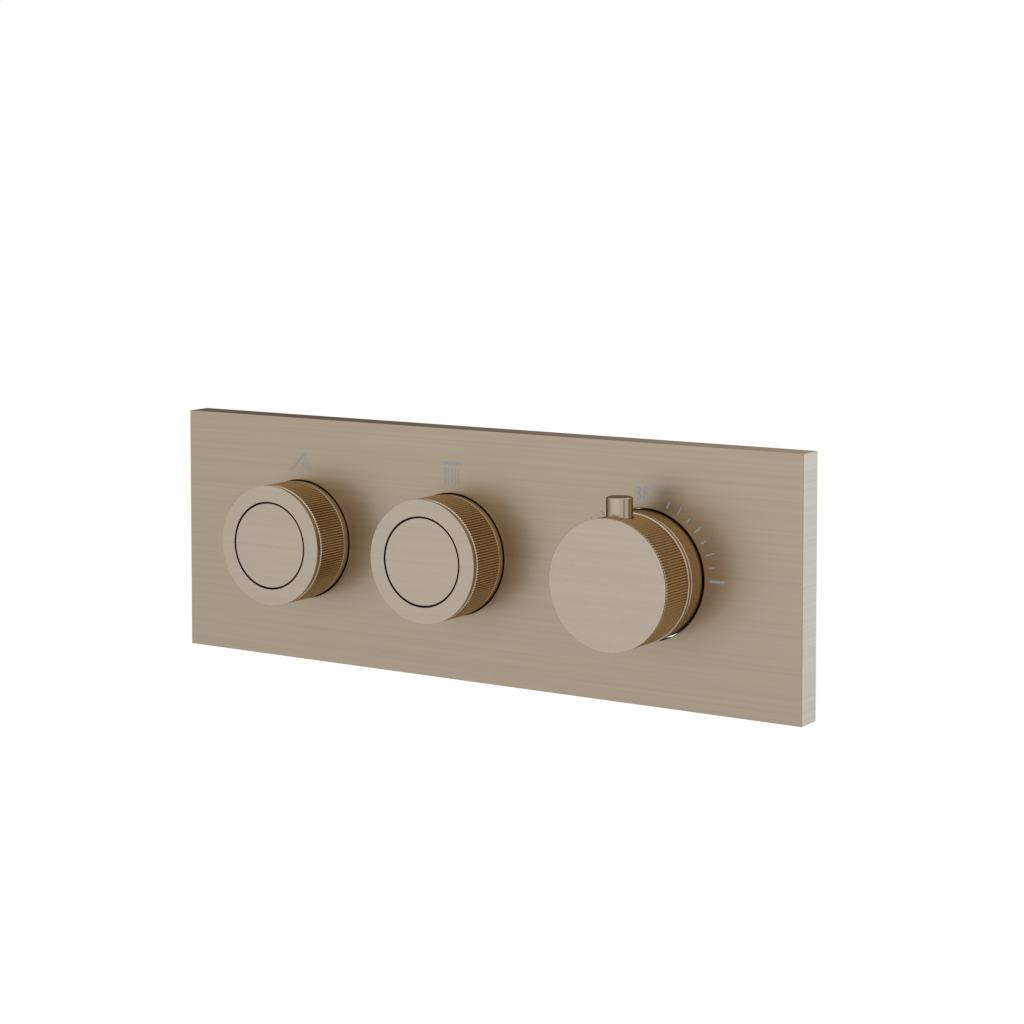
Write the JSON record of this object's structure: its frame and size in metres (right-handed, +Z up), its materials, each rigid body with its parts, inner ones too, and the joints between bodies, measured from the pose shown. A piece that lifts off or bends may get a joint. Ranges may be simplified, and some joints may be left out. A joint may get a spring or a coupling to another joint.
{
  "type": "shower valve trim",
  "caption": "Rectangular wall plate with knurled push-and-turn flow controls and a knurled temperature dial with a safety button, trim for a concealed shower valve.",
  "frame": {"origin": "on the wall plane, behind the centre of the plate, at the middle of the four fixing screws", "axes": "+X to the right seen from the room, +Y into the wall, +Z up"},
  "size_m": [0.23, 0.0474, 0.08],
  "materials": {
    "plate_metal": "bronze-nickel coating, brushed along the plate",
    "control_metal": "bronze-nickel coating, brushed faces and knurled sides",
    "tray_steel": "plain folded sheet",
    "screw_steel": "plain stainless screws",
    "spring_steel": "drawn spring wire",
    "carrier_plastic": "moulded, dark grey",
    "guide_plastic": "moulded acetal, black",
    "seal_rubber": "matt black",
    "gasket_foam": "closed-cell foam, black"
  },
  "bodies": {
    "plate": {"face_plate": "plate_metal", "mounting_tray": "tray_steel", "tray_screws": "screw_steel", "plate_grub_screws": "screw_steel", "wall_gasket": "gasket_foam", "dial_collar": "control_metal", "collar_screws": "screw_steel", "stop_ring": "guide_plastic", "dial_seal": "seal_rubber", "handset_guide_ring": "guide_plastic", "handset_guide_seal": "seal_rubber", "handset_plate_seal": "gasket_foam", "overhead_guide_ring": "guide_plastic", "overhead_guide_seal": "seal_rubber", "overhead_plate_seal": "gasket_foam"},
    "handset_control": {"handset_grip": "control_metal", "handset_grip_screw": "screw_steel", "handset_carrier": "carrier_plastic", "handset_spring": "spring_steel"},
    "handset_push": {"handset_button": "control_metal", "handset_plunger": "carrier_plastic"},
    "overhead_control": {"overhead_grip": "control_metal", "overhead_grip_screw": "screw_steel", "overhead_carrier": "carrier_plastic", "overhead_spring": "spring_steel"},
    "overhead_push": {"overhead_button": "control_metal", "overhead_plunger": "carrier_plastic"},
    "dial": {"temperature_dial": "control_metal", "dial_screw": "screw_steel", "dial_carrier": "carrier_plastic", "safety_spring": "spring_steel"},
    "safety_pin": {"safety_button": "control_metal"}
  },
  "joints": [
    {"name": "handset_turn", "type": "hinge", "parent": "plate", "child": "handset_control", "pos_m": [-0.0675, 0, 0], "axis": [0, -1, 0], "range_deg": [-135, 135]},
    {"name": "handset_press", "type": "slide", "parent": "handset_control", "child": "handset_push", "axis": [0, 1, 0], "range_m": [0, 0.003], "stiffness_N_per_m": 600, "springref_m": -0.003, "deforming": ["handset_spring"]},
    {"name": "overhead_turn", "type": "hinge", "parent": "plate", "child": "overhead_control", "pos_m": [-0.0075, 0, 0], "axis": [0, -1, 0], "range_deg": [-135, 135]},
    {"name": "overhead_press", "type": "slide", "parent": "overhead_control", "child": "overhead_push", "axis": [0, 1, 0], "range_m": [0, 0.003], "stiffness_N_per_m": 600, "springref_m": -0.003, "deforming": ["overhead_spring"]},
    {"name": "dial_turn", "type": "hinge", "parent": "plate", "child": "dial", "pos_m": [0.0625, 0, 0], "axis": [0, -1, 0], "range_deg": [-90, 90]},
    {"name": "safety_press", "type": "slide", "parent": "dial", "child": "safety_pin", "axis": [0, 0, -1], "range_m": [0, 0.002], "stiffness_N_per_m": 500, "springref_m": -0.003, "deforming": ["safety_spring"]}
  ]
}
